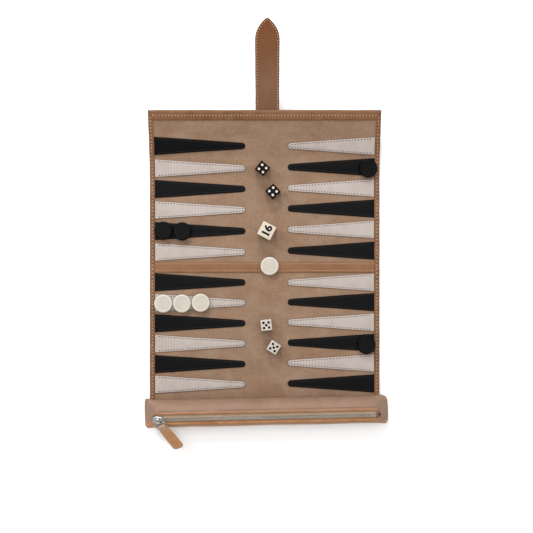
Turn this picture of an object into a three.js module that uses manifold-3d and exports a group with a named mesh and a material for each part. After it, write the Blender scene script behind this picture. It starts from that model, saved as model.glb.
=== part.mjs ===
// Roll-up backgammon set: a leather mat that rolls round its own zipped pouch, with checkers, dice
// and a doubling cube. Millimetres, +Z up. The origin is on the table under the middle of the bar,
// +X to the right, +Y towards the strap. The mat lies open, with its strap end curling upwards.
import * as THREE from "three";
import { mergeVertices } from "three/addons/utils/BufferGeometryUtils.js";
import Module from "manifold-3d";

const wasm = await Module();
wasm.setup();

// ---------------------------------------------------------------- driving dimensions
const GAP = 0.3; // kept between pieces that touch
const MAT_WIDTH = 252;
const MAT_THICK = 2.2; // suede face and leather back, laminated
const FOLD_GAP = 1.0; // between neighbouring rows of the mat, at a fold
const ROW_PITCH = 23.1; // rows 1 to 6
const LOWER_PITCH = 22.4; // rows 7 to 12
const FIRST_ROW_Y = 17.0; // centre of the rows next to the bar
const BAR_HALF = 6.6; // from the middle of the bar to its folds
const BAR_RISE = 1.0; // the bar's strip above the suede
const BINDING_WIDTH = 5.6;
const BINDING_RISE = 0.8;
const TOP_MARGIN = 28; // from row 1 to the strap edge of the mat
const TOP_BINDING_WIDTH = 11;
const CURL_DEG = [8, 9, 3]; // extra upward turn at the folds below row 2, row 1 and the top margin

const POINT = { base: 120.1, leftTip: 21.3, rightTip: 25.6, baseHalf: 9.75, tipRadius: 3.3, thick: 0.8 };
// How far each point is sewn from its row's middle, towards the strap, from row 1 to row 12.
const POINT_SHIFT = {
  left: [0.6, -0.8, -0.4, -0.4, -0.4, -0.4, 0.4, 0.4, 0.4, 0.4, 0.4, 0.4],
  right: [0.6, 0.4, 0.6, 1.2, 1.2, 1.2, 0.4, 1.2, 1.4, 1.4, 1.6, 1.6],
};

const CHECKER = { radius: 10, thick: 5, edge: 1.3, sides: 24 };
const DIE = { size: 12, edge: 0.6 };
const CUBE = { size: 16, edge: 1 };

const STRAP = {
  width: 25.4, thick: 2.3, length: 95.2, anchor: 14, x: 3, tipLength: 20,
  bulge: 0.95, reach: 0.35, // where the tip's curves turn, as shares of its half width and its length
};

const POUCH = {
  x: 2, y: -156.3, yawDeg: 1.2, halfLength: 132, radius: 14.75, wall: 1.6,
  flange: 4.5, taper: 12, capped: 7, endHalfHeight: 1.6, endHalfWidth: 16.8, endZ: 8.5,
  frontCorner: 5, backRightCorner: 9, backLeftCorner: 3, // radii of the pressed ends' corners in plan
};
const POUCH_SECTIONS = [0, 0.6, 1.5, 3, 4.5, 5.2, 6.4, 8, 10, 12.5, 16.5, 45, 90]; // mm from either end
const POUCH_SIDES = 30;
// Degrees round the tube, millimetres along it, and how deep and high the opening is cut.
const WINDOW = { from: 86.5, to: 126, left: -123, right: 122.4, cutIn: -6, cutOut: 4 };
const ZIP_DEG = 106; // where the teeth run, measured from the back of the tube over its top
const ZIP = { pastWindow: 1.5, lapDeg: 8, tape: 0.8, teethDeg: 7, teethInset: 3, toothDepth: 0.4 };
// nose, shoulder and tail shape the slider's plan, as shares of its half length and half width.
const SLIDER = { x: -116, length: 11, width: 8, plate: 1.4, nose: 0.6, shoulder: 0.4, tail: 0.75 };
const POST = { radius: 0.9, length: 4.6, down: 1, headRadius: 2.2, headThick: 0.7, headUp: 1.6 };
const PULL = { height: 4, planeDeg: 36, swingDeg: 26, tabLength: 37.2, tabWidth: 10.4, tabThick: 2.4 };
const LINK = { bar: 1.5, eye: 2.9, hole: 1.4, from: 3.4, to: 9.2, half: 7 };
const STACK = { discs: 11, length: 55, z: 12.15, inset: 2.5, edge: 0.8, sides: 14 };

// ---------------------------------------------------------------- materials
const material = (color, roughness, metalness = 0) =>
  new THREE.MeshStandardMaterial({ color, roughness, metalness });
const SUEDE = material(0x9e8269, 0.95);
const BAR_LEATHER = material(0xa56e4b, 0.6);
const STRAP_LEATHER = material(0x875c41, 0.6);
const POUCH_LEATHER = material(0xa58770, 0.6);
const TAB_LEATHER = material(0xc39164, 0.6);
const WHITE_LEATHER = material(0xcdc3be, 0.6);
const BLACK_LEATHER = material(0x201e1f, 0.6);
const IVORY = material(0xe4daca, 0.35);
const EBONY = material(0x141414, 0.35);
const CUBE_IVORY = material(0xebdcbe, 0.35);
const METAL = material(0xc8c8c8, 0.3, 1);
const TAPE = material(0xa08c70, 0.9);

// ---------------------------------------------------------------- helpers
const rad = THREE.MathUtils.degToRad;
const part = new THREE.Group();

function add(group, name, geometry, mat) {
  const mesh = new THREE.Mesh(geometry, mat);
  mesh.name = name;
  group.add(mesh);
  return mesh;
}

// A group turned by `degrees` about a line along X at (y, z). Its contents keep flat-mat places.
function turnedAbout(parent, y, z, degrees) {
  const pivot = new THREE.Group();
  pivot.position.set(0, y, z);
  pivot.rotation.x = rad(degrees);
  const inside = new THREE.Group();
  inside.position.set(0, -y, -z);
  pivot.add(inside);
  parent.add(pivot);
  return inside;
}

function solid(geometry) {
  const bare = new THREE.BufferGeometry();
  bare.setAttribute("position", geometry.getAttribute("position"));
  if (geometry.index) bare.setIndex(geometry.index);
  const merged = mergeVertices(bare, 1e-4);
  return new wasm.Manifold(
    new wasm.Mesh({
      numProp: 3,
      vertProperties: merged.attributes.position.array,
      triVerts: new Uint32Array(merged.index.array),
    }),
  );
}

function geometryOf(manifold) {
  const mesh = manifold.getMesh();
  const geometry = new THREE.BufferGeometry();
  geometry.setAttribute("position", new THREE.BufferAttribute(new Float32Array(mesh.vertProperties), 3));
  geometry.setIndex(new THREE.BufferAttribute(new Uint32Array(mesh.triVerts), 1));
  return geometry;
}

// A box from its two corners.
function slab(x0, x1, y0, y1, z0, z1) {
  const box = new THREE.BoxGeometry(x1 - x0, y1 - y0, z1 - z0);
  return box.translate((x0 + x1) / 2, (y0 + y1) / 2, (z0 + z1) / 2);
}

function union(...geometries) {
  return geometryOf(geometries.map(solid).reduce((whole, piece) => whole.add(piece)));
}

const extrude = (shape, depth, options = {}) =>
  new THREE.ExtrudeGeometry(shape, { depth, bevelEnabled: false, curveSegments: 6, ...options });

// ---------------------------------------------------------------- mat
// One row of the mat: the laminate with a raised binding at each side, and a face raised by `rise`.
function matRow(y0, y1, rise = 0) {
  const half = MAT_WIDTH / 2;
  const inner = half - BINDING_WIDTH;
  const bound = MAT_THICK + BINDING_RISE;
  const face = MAT_THICK + rise;
  const section = new THREE.Shape([
    new THREE.Vector2(-half, 0), new THREE.Vector2(half, 0), new THREE.Vector2(half, bound),
    new THREE.Vector2(inner, bound), new THREE.Vector2(inner, face), new THREE.Vector2(-inner, face),
    new THREE.Vector2(-inner, bound), new THREE.Vector2(-half, bound),
  ]);
  return extrude(section, y1 - y0).rotateX(Math.PI / 2).translate(0, y1, 0);
}

// One tapered leather point. side is -1 at the left and 1 at the right, y is its centre line.
function matPoint(side, y) {
  const tip = (side < 0 ? POINT.leftTip : POINT.rightTip) + POINT.tipRadius;
  const shape = new THREE.Shape();
  shape.moveTo(POINT.base, POINT.baseHalf);
  shape.lineTo(tip, POINT.tipRadius);
  shape.absarc(tip, 0, POINT.tipRadius, Math.PI / 2, Math.PI * 1.5, false);
  shape.lineTo(POINT.base, -POINT.baseHalf);
  const geometry = extrude(shape, POINT.thick);
  if (side < 0) geometry.rotateZ(Math.PI);
  return geometry.translate(0, y, MAT_THICK + GAP);
}

// Rows 1 to 6 lie above the bar and 7 to 12 below it, numbered from the strap end.
const rowPitch = (row) => (row <= 6 ? ROW_PITCH : LOWER_PITCH);
const rowY = (row) =>
  row <= 6 ? FIRST_ROW_Y + (6 - row) * ROW_PITCH : -FIRST_ROW_Y - (row - 7) * LOWER_PITCH;
const rowName = (row) => "mat_row_" + String(row).padStart(2, "0");

function buildRow(group, row) {
  const y = rowY(row);
  const low = row === 6 ? BAR_HALF : y - rowPitch(row) / 2;
  const high = row === 7 ? -BAR_HALF : y + rowPitch(row) / 2;
  add(group, rowName(row), matRow(low + FOLD_GAP / 2, high - FOLD_GAP / 2), SUEDE);
  const oddIsBlack = row % 2 === 1;
  for (const [word, side] of [["left", -1], ["right", 1]]) {
    const black = oddIsBlack === side < 0;
    const name = `point_${String(row).padStart(2, "0")}_${word}_${black ? "black" : "white"}`;
    add(group, name, matPoint(side, y + POINT_SHIFT[word][row - 1]), black ? BLACK_LEATHER : WHITE_LEATHER);
  }
}

// The strap end: suede with a wide binding along the edge and the strap's sewn root underneath.
const matEnd = rowY(1) + ROW_PITCH / 2 + TOP_MARGIN;
function buildTopMargin(group) {
  const low = rowY(1) + ROW_PITCH / 2 + FOLD_GAP / 2;
  const half = MAT_WIDTH / 2;
  const bound = MAT_THICK + BINDING_RISE;
  const binding = slab(-half, half, matEnd - TOP_BINDING_WIDTH, matEnd, MAT_THICK / 2, bound);
  const [x0, x1] = [STRAP.x - STRAP.width / 2, STRAP.x + STRAP.width / 2];
  const root = slab(x0, x1, matEnd - STRAP.anchor, matEnd, -STRAP.thick, MAT_THICK / 2);
  add(group, "top_margin", union(matRow(low, matEnd), binding, root), SUEDE);
}

// The strap in two halves, so that it can wrap. The outer half ends in a pointed arch.
function buildStrap(group) {
  const start = matEnd + 2 * GAP;
  const middle = start + STRAP.length / 2;
  const end = start + STRAP.length;
  const half = STRAP.width / 2;
  const shoulder = end - STRAP.tipLength;
  const base = slab(STRAP.x - half, STRAP.x + half, start, middle - FOLD_GAP / 2, -STRAP.thick, -GAP);
  const outline = new THREE.Shape();
  outline.moveTo(-half, middle + FOLD_GAP / 2);
  outline.lineTo(half, middle + FOLD_GAP / 2);
  outline.lineTo(half, shoulder);
  const [controlX, controlY] = [half * STRAP.bulge, end - STRAP.tipLength * STRAP.reach];
  outline.quadraticCurveTo(controlX, controlY, 0, end);
  outline.quadraticCurveTo(-controlX, controlY, -half, shoulder);
  const tip = extrude(outline, STRAP.thick - GAP).translate(STRAP.x, 0, -STRAP.thick);
  add(group, "strap_base", base, STRAP_LEATHER);
  add(group, "strap_tip", tip, STRAP_LEATHER);
}

// ---------------------------------------------------------------- game pieces
function checker(x, y, z) {
  const { radius, thick, edge, sides } = CHECKER;
  const arc = [[radius - edge, 0], [radius - edge * 0.3, edge * 0.3], [radius, edge]];
  const upper = arc.map(([r, h]) => [r, thick - h]).reverse();
  const profile = [[0, 0], ...arc, ...upper, [0, thick]].map(([r, h]) => new THREE.Vector2(r, h));
  return new THREE.LatheGeometry(profile, sides).rotateX(Math.PI / 2).translate(x, y, z);
}

// A cube of `size` with all its edges cut back by `edge`.
function cutCube({ size, edge }, x, y, z, turnDeg) {
  const a = size / 2 - edge;
  const b = size / 2 - 2 * edge;
  const corners = [[a, b], [b, a], [-b, a], [-a, b], [-a, -b], [-b, -a], [b, -a], [a, -b]];
  const shape = new THREE.Shape(corners.map(([u, v]) => new THREE.Vector2(u, v)));
  const bevel = { bevelEnabled: true, bevelThickness: edge, bevelSize: edge, bevelSegments: 1 };
  const geometry = extrude(shape, size - 2 * edge, bevel).translate(0, 0, edge);
  return geometry.rotateZ(rad(turnDeg)).translate(x, y, z);
}

const ON_SUEDE = MAT_THICK + GAP;
const ON_POINT = ON_SUEDE + POINT.thick + GAP;
const ON_BAR = MAT_THICK + BAR_RISE + GAP;

// Game pieces by the row that they lie on; row 0 is the bar.
const GAME_PIECES = [
  { row: 8, name: "white_checker_1", make: () => checker(-110.6, -39.7, ON_POINT), mat: IVORY },
  { row: 8, name: "white_checker_2", make: () => checker(-90.3, -39.7, ON_POINT), mat: IVORY },
  { row: 8, name: "white_checker_3", make: () => checker(-69.8, -38.9, ON_POINT), mat: IVORY },
  { row: 0, name: "white_checker_4", make: () => checker(5.5, 1.2, ON_BAR), mat: IVORY },
  { row: 5, name: "black_checker_1", make: () => checker(-110.5, 39.9, ON_POINT), mat: EBONY },
  { row: 5, name: "black_checker_2", make: () => checker(-90.2, 39.2, ON_POINT), mat: EBONY },
  { row: 2, name: "black_checker_3", make: () => checker(113.2, 108.5, ON_POINT), mat: EBONY },
  { row: 10, name: "black_checker_4", make: () => checker(111.2, -84.8, ON_POINT), mat: EBONY },
  { row: 2, name: "black_die_1", make: () => cutCube(DIE, -2.2, 108.9, ON_SUEDE, -39), mat: EBONY },
  { row: 3, name: "black_die_2", make: () => cutCube(DIE, 9.1, 82.5, ON_SUEDE, -48), mat: EBONY },
  { row: 9, name: "white_die_1", make: () => cutCube(DIE, 1.9, -62.9, ON_SUEDE, 6.5), mat: IVORY },
  { row: 10, name: "white_die_2", make: () => cutCube(DIE, 10, -87.1, ON_SUEDE, -32), mat: IVORY },
  { row: 5, name: "doubling_cube", make: () => cutCube(CUBE, 2.4, 39.5, ON_SUEDE, -29), mat: CUBE_IVORY },
];

function buildGamePieces(group, row) {
  for (const piece of GAME_PIECES.filter((p) => p.row === row))
    add(group, piece.name, piece.make(), piece.mat);
}

// ---------------------------------------------------------------- pouch
// The pouch is a tube along X whose two ends are pressed flat and sewn. All of it is worked out in the
// pouch's own frame, with the tube's axis over the origin. A place on it is (x, degrees round, depth),
// where 0 degrees is the mat side, 90 the top and 180 the front, and depth is outwards from the surface.
function tubePoint(x, degrees, depth) {
  const fromEnd = POUCH.halfLength - Math.abs(x);
  const u = Math.min(Math.max((fromEnd - POUCH.flange) / POUCH.taper, 0), 1);
  const full = Math.sqrt(1 - (1 - u) ** 2);
  const mix = (end, middle) => end + (middle - end) * full;
  const front = Math.cos(rad(degrees)) < 0;
  const backCorner = x > 0 ? POUCH.backRightCorner : POUCH.backLeftCorner;
  const corner = front ? POUCH.frontCorner : backCorner;
  const cut = fromEnd < corner ? corner - Math.sqrt(corner ** 2 - (corner - fromEnd) ** 2) : 0;
  const halfWidth = mix(POUCH.endHalfWidth, POUCH.radius) - cut + depth;
  const halfHeight = mix(POUCH.endHalfHeight, POUCH.radius) + depth;
  const z = mix(POUCH.endZ, POUCH.radius);
  return [x, halfWidth * Math.cos(rad(degrees)), z + halfHeight * Math.sin(rad(degrees))];
}

// Where the tube's sections are taken: closer together at the shaped ends.
function stations(x0, x1) {
  const all = POUCH_SECTIONS.flatMap((d) => [d - POUCH.halfLength, POUCH.halfLength - d]);
  return [x0, ...all.filter((x) => x > x0 + 0.1 && x < x1 - 0.1).sort((a, b) => a - b), x1];
}

// A closed mesh from rings of points, with flat ends.
function loft(rings) {
  const n = rings[0].length;
  const positions = rings.flat(2);
  const faces = [];
  for (let i = 0; i < rings.length - 1; i++)
    for (let j = 0; j < n; j++) {
      const a = i * n + j;
      const b = i * n + ((j + 1) % n);
      faces.push(a, a + n, b, b, a + n, b + n);
    }
  for (let j = 1; j < n - 1; j++) {
    faces.push(0, j, j + 1);
    const last = (rings.length - 1) * n;
    faces.push(last, last + j + 1, last + j);
  }
  const geometry = new THREE.BufferGeometry();
  geometry.setAttribute("position", new THREE.Float32BufferAttribute(positions, 3));
  geometry.setIndex(faces);
  return geometry;
}

// The whole tube at one depth.
function tube(x0, x1, depth) {
  const angle = (i) => (-360 * i) / POUCH_SIDES;
  const ring = (x) => Array.from({ length: POUCH_SIDES }, (_, i) => tubePoint(x, angle(i), depth));
  return loft(stations(x0, x1).map(ring));
}

// A curved slab that follows the tube between two angles and two depths.
function tubePatch(x0, x1, from, to, inner, outer, steps = 5) {
  const angle = (i) => from + ((to - from) * i) / steps;
  const ring = (x) => [
    ...Array.from({ length: steps + 1 }, (_, i) => tubePoint(x, angle(steps - i), outer)),
    ...Array.from({ length: steps + 1 }, (_, i) => tubePoint(x, angle(i), inner)),
  ];
  return loft(stations(x0, x1).map(ring));
}

// The tube's wall with its zip window, and the flap of mat that carries it.
function buildPouchShell(group) {
  const end = POUCH.halfLength;
  const capped = end - POUCH.capped;
  const wall = solid(tube(-end, end, 0)).subtract(solid(tube(-capped, capped, -POUCH.wall)));
  const { left, right, from, to, cutIn, cutOut } = WINDOW;
  const open = solid(tubePatch(left, right, from, to, cutIn, cutOut));
  const yaw = new THREE.Matrix4().makeRotationZ(rad(POUCH.yawDeg)).setPosition(POUCH.x, POUCH.y, 0);
  const placed = geometryOf(wall.subtract(open)).applyMatrix4(yaw);
  const flapEnd = rowY(12) - LOWER_PITCH / 2 - FOLD_GAP / 2;
  const half = MAT_WIDTH / 2;
  const flap = solid(slab(-half, half, POUCH.y, flapEnd, 0, MAT_THICK));
  const kept = flap.subtract(solid(tube(-capped, capped, -POUCH.wall).applyMatrix4(yaw)));
  add(group, "pouch_shell", geometryOf(solid(placed).add(kept)), POUCH_LEATHER);
}

// Two tapes behind the window and the closed row of teeth between them, in one piece.
function buildZip(group) {
  const [x0, x1] = [WINDOW.left - ZIP.pastWindow, WINDOW.right + ZIP.pastWindow];
  const [from, to] = [WINDOW.from - ZIP.lapDeg, WINDOW.to + ZIP.lapDeg];
  const behind = -POUCH.wall - GAP;
  const tapes = solid(tubePatch(x0, x1, from, to, behind - ZIP.tape, behind, 8));
  const row = [ZIP_DEG - ZIP.teethDeg, ZIP_DEG + ZIP.teethDeg];
  const [inner, outer] = [behind - ZIP.toothDepth, -ZIP.toothDepth];
  const teeth = solid(tubePatch(x0 + ZIP.teethInset, x1 - ZIP.teethInset, ...row, inner, outer, 4));
  add(group, "zipper_chain", geometryOf(tapes.add(teeth)), TAPE);
}

// A frame on the tube's surface at the zip, with X along the tube and Z outwards.
function zipFrame(parent, x, depth, degreesFromTop) {
  const [, y, z] = tubePoint(x, ZIP_DEG, depth);
  const frame = new THREE.Group();
  frame.position.set(x, y, z);
  frame.rotation.x = rad(degreesFromTop);
  parent.add(frame);
  return frame;
}

// The slider rides on the teeth; the pull's link turns on its post and is kept on by the post's head.
function buildSlider(group) {
  const body = zipFrame(group, SLIDER.x, 0, ZIP_DEG - 90);
  const plan = new THREE.Shape();
  const [a, b] = [SLIDER.length / 2, SLIDER.width / 2];
  plan.moveTo(-a, -b * SLIDER.nose);
  plan.lineTo(-a * SLIDER.shoulder, -b);
  plan.lineTo(a, -b * SLIDER.tail);
  plan.lineTo(a, b * SLIDER.tail);
  plan.lineTo(-a * SLIDER.shoulder, b);
  plan.lineTo(-a, b * SLIDER.nose);
  const plate = solid(extrude(plan, SLIDER.plate));
  const lean = rad(PULL.planeDeg - (ZIP_DEG - 90));
  const upright = (geometry) => geometry.rotateX(Math.PI / 2 + lean).translate(0, 0, PULL.height);
  const cylinder = (r, long, sides, up) => new THREE.CylinderGeometry(r, r, long, sides).translate(0, up, 0);
  const rod = (...sizes) => solid(upright(cylinder(...sizes)));
  const post = rod(POST.radius, POST.length, 12, -POST.down);
  const head = rod(POST.headRadius, POST.headThick, 16, POST.headUp);
  add(body, "zip_slider", geometryOf(plate.add(post).add(head)), METAL);
}

// Link and tab lie in one plane that clears the tube, turned towards the front right.
function buildPull(group) {
  const plane = zipFrame(group, SLIDER.x, PULL.height, PULL.planeDeg);
  const swung = new THREE.Group();
  swung.rotation.z = rad(PULL.swingDeg - 90);
  plane.add(swung);
  const { bar, from, to, half } = LINK;
  const hole = () => new THREE.Path().absarc(0, 0, LINK.hole, 0, 2 * Math.PI, true);
  const box = (x0, x1, y) => [[x0, -y], [x1, -y], [x1, y], [x0, y]].map((p) => new THREE.Vector2(...p));
  const link = new THREE.Shape();
  link.absarc(0, 0, LINK.eye, Math.PI * 0.25, Math.PI * 1.75, false);
  for (const { x, y } of box(from, to, half)) link.lineTo(x, y);
  link.holes.push(hole(), new THREE.Path(box(from + bar, to - bar, half - bar).reverse()));
  add(swung, "pull_ring", extrude(link, bar).translate(0, 0, -bar / 2), METAL);
  const barX = to - bar / 2;
  const side = new THREE.Shape();
  const layers = PULL.tabThick / 2;
  side.absarc(0, 0, 2 * layers, Math.PI / 6, (Math.PI * 11) / 6, false);
  side.lineTo(PULL.tabLength, -layers);
  side.lineTo(PULL.tabLength, layers);
  side.holes.push(hole());
  const tab = extrude(side, PULL.tabWidth).rotateX(Math.PI / 2).translate(barX, PULL.tabWidth / 2, 0);
  add(swung, "pull_tab", tab, TAB_LEATHER);
}

// The checkers not in play, stacked on edge inside the tube.
function stack(x0) {
  const { discs, length, edge } = STACK;
  const thick = length / discs;
  const r = CHECKER.radius;
  const profile = [new THREE.Vector2(0, 0)];
  for (let i = 0; i < discs; i++) {
    profile.push(new THREE.Vector2(r - edge, i * thick), new THREE.Vector2(r, i * thick + edge));
    profile.push(new THREE.Vector2(r, (i + 1) * thick - edge));
  }
  profile.push(new THREE.Vector2(r - edge, length), new THREE.Vector2(0, length));
  return new THREE.LatheGeometry(profile, STACK.sides).rotateZ(-Math.PI / 2).translate(x0, 0, STACK.z);
}

function buildPouch() {
  buildPouchShell(part);
  const group = new THREE.Group();
  group.position.set(POUCH.x, POUCH.y, 0);
  group.rotation.z = rad(POUCH.yawDeg);
  part.add(group);
  buildZip(group);
  buildSlider(group);
  buildPull(group);
  add(group, "stored_white_checkers", stack(-STACK.inset - STACK.length), IVORY);
  add(group, "stored_black_checkers", stack(STACK.inset), EBONY);
}

// ---------------------------------------------------------------- assembly
add(part, "centre_bar", matRow(-BAR_HALF + FOLD_GAP / 2, BAR_HALF - FOLD_GAP / 2, BAR_RISE), BAR_LEATHER);
buildGamePieces(part, 0);
for (let row = 12; row >= 3; row--) {
  buildRow(part, row);
  buildGamePieces(part, row);
}
let curled = part;
[2, 1].forEach((row, i) => {
  curled = turnedAbout(curled, rowY(row) - ROW_PITCH / 2, MAT_THICK, CURL_DEG[i]);
  buildRow(curled, row);
  buildGamePieces(curled, row);
});
curled = turnedAbout(curled, rowY(1) + ROW_PITCH / 2, MAT_THICK, CURL_DEG[2]);
buildTopMargin(curled);
buildStrap(curled);
buildPouch();

export default part;
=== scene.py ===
"""Roll-up backgammon set: its looks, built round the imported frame.

Lengths are in millimetres until a mesh is made. The mat's pieces are laid out on the flat mat and
then curled up with its strap end, as the CAD rows are.
"""

import math

import bmesh
import bpy
import numpy as np
from mathutils import Matrix, Vector


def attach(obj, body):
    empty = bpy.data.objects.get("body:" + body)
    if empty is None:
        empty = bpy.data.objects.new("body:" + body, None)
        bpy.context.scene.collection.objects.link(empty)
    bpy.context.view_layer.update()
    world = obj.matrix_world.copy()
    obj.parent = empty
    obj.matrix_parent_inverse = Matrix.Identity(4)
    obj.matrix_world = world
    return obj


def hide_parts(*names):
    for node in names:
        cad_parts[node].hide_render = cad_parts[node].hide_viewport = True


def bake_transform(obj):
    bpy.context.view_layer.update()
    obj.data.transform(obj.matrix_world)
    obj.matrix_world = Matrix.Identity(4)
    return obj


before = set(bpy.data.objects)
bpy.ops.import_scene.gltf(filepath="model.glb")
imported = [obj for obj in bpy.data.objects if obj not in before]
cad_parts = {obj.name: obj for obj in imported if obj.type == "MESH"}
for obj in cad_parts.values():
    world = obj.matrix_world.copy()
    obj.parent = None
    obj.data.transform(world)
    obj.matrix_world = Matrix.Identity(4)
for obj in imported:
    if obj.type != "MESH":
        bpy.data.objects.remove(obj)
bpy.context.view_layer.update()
MM = 0.001

# ---------------------------------------------------------------- dimensions, as in the CAD
MAT_THICK = 2.2
BINDING_INNER, BINDING_WIDTH = 120.4, 5.6
ROW_PITCH, LOWER_PITCH = 23.1, 22.4
FIRST_ROW_Y = 17.0
BAR_HALF = 6.6
MAT_END = 172.05
TOP_BINDING = 161.05
POINT_BASE, POINT_HALF, POINT_TIP_RADIUS = 120.1, 9.75, 3.3
POINT_TIP = {-1: 21.3, 1: 25.6}
POINT_SHIFT = {-1: [0.6, -0.8, -0.4, -0.4, -0.4, -0.4, 0.4, 0.4, 0.4, 0.4, 0.4, 0.4],
               1: [0.6, 0.4, 0.6, 1.2, 1.2, 1.2, 0.4, 1.2, 1.4, 1.4, 1.6, 1.6]}
STRAP_X, STRAP_HALF, STRAP_ROOT, STRAP_TIP = 3.0, 12.7, 14.0, 22.5
STRAP_FOLD, STRAP_MIDDLE, STRAP_END = 172.35, 220.25, 267.85
POUCH_AT, POUCH_YAW, POUCH_HALF, POUCH_RADIUS, POUCH_WALL = (2.0, -156.3), 1.2, 132.0, 14.75, 1.6
WINDOW_FROM, WINDOW_TO, WINDOW_LEFT, WINDOW_RIGHT = 86.5, 126.0, -123.0, 122.4
ZIP_DEG = 106.0
CURLS = [(97.85, 8.0), (120.95, 9.0), (144.05, 3.0)]
ON_MAT, ON_BAR, ON_POINT = 2.5, 3.5, 3.6
DIE_SIZE, CUBE_SIZE = 12.0, 16.0


def row_y(row):
    return FIRST_ROW_Y + (6 - row) * ROW_PITCH if row <= 6 else -FIRST_ROW_Y - (row - 7) * LOWER_PITCH


# ---------------------------------------------------------------- curling the flat mat
def turned(points, y, degrees, z=MAT_THICK):
    """Points turned up about a line along X at (y, z). degrees may be one number or one for each point."""
    c, s = np.cos(np.radians(degrees)), np.sin(np.radians(degrees))
    dy, dz = points[:, 1] - y, points[:, 2] - z
    return np.stack([points[:, 0], y + dy * c - dz * s, z + dy * s + dz * c], axis=1)


def curled(level):
    """Where a flat panel's points go when the folds below it are curled. Level 3 is the strap end."""

    def place(points):
        points = np.asarray(points, float).reshape(-1, 3)
        for y, degrees in reversed(CURLS[:level]):
            points = turned(points, y, degrees)
        return points

    return place


def standing(x, y, z, turn=0.0, level=0):
    """From a loose piece's own frame to its place on the board, turned about upright."""
    spin = np.array(Matrix.Rotation(math.radians(turn), 3, "Z"))
    return lambda points: curled(level)(points @ spin.T + (x, y, z))


def smooth(t):
    t = np.clip(t, 0, 1)
    return t * t * (3 - 2 * t)


PANELS = [("top_margin", MAT_END, 3)]
PANELS += [(f"row_{r:02d}", row_y(r), max(0, 3 - r)) for r in range(1, 7)] + [("bar", 0.0, 0)]
PANELS += [(f"row_{r:02d}", row_y(r), 0) for r in range(7, 13)] + [("pouch", POUCH_AT[1], 0)]
FOLDS = [row_y(r) + ROW_PITCH / 2 for r in range(1, 7)] + [BAR_HALF, -BAR_HALF]
FOLDS += [row_y(r) - LOWER_PITCH / 2 for r in range(7, 13)]
NODE_OF = {"bar": "centre_bar", "top_margin": "top_margin"}
NODE_OF.update({f"row_{r:02d}": f"mat_row_{r:02d}" for r in range(1, 13)})


STEP = 2.2  # between rows of points along the mat, away from the folds


class Stretch:
    """The mat from the middle of one panel to the middle of the next. It bends at the fold between them."""

    def __init__(self, number):
        (self.upper, self.high, level), (self.lower, self.low, self.level) = PANELS[number : number + 2]
        self.fold = FOLDS[number]
        self.degrees = CURLS[level - 1][1] if level > self.level else 0.0
        self.reach = min(7.0, BAR_HALF)
        self.name = f"{self.upper}_to_{self.lower}"

    def place(self, points):
        points = np.asarray(points, float).reshape(-1, 3)
        share = smooth((points[:, 1] - self.fold + self.reach) / (2 * self.reach))
        return curled(self.level)(turned(points, self.fold, share * self.degrees))

    def ride(self, obj):
        start, end = self.place([(0, self.fold + way * self.reach, MAT_THICK) for way in (1, -1)])
        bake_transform(obj)

    def steps(self, high=None):
        """Places along the stretch, closer together at the fold."""
        high = self.high if high is None else high
        above, below = self.fold + self.reach, self.fold - self.reach
        top = np.linspace(above, high, max(2, round((high - above) / STEP) + 1))
        bottom = np.linspace(self.low, below, max(2, round((below - self.low) / STEP) + 1))
        found = np.unique(np.round(np.concatenate([bottom, np.linspace(below, above, 11), top]), 3))
        return found[(found >= self.low - 1e-6) & (found <= high + 1e-6)]


STRETCHES = [Stretch(i) for i in range(len(FOLDS))]


def ripple(x, y, size, seed):
    """Soft waves about `size` across, from -1 to 1, the same each time."""
    x, y, p = np.asarray(x, float) / size * 3.1, np.asarray(y, float) / size * 3.1, seed * 1.7
    waves = np.sin(x + p) * np.cos(0.8 * y - 1.3 * p) + 0.7 * np.sin(0.9 * x + 1.7 * y + 2.1 * p)
    return (waves + 0.5 * np.sin(2.3 * x - 1.4 * y - p) + 0.4 * np.cos(3.1 * y + 1.1 * x + 3 * p)) / 2.6


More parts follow.
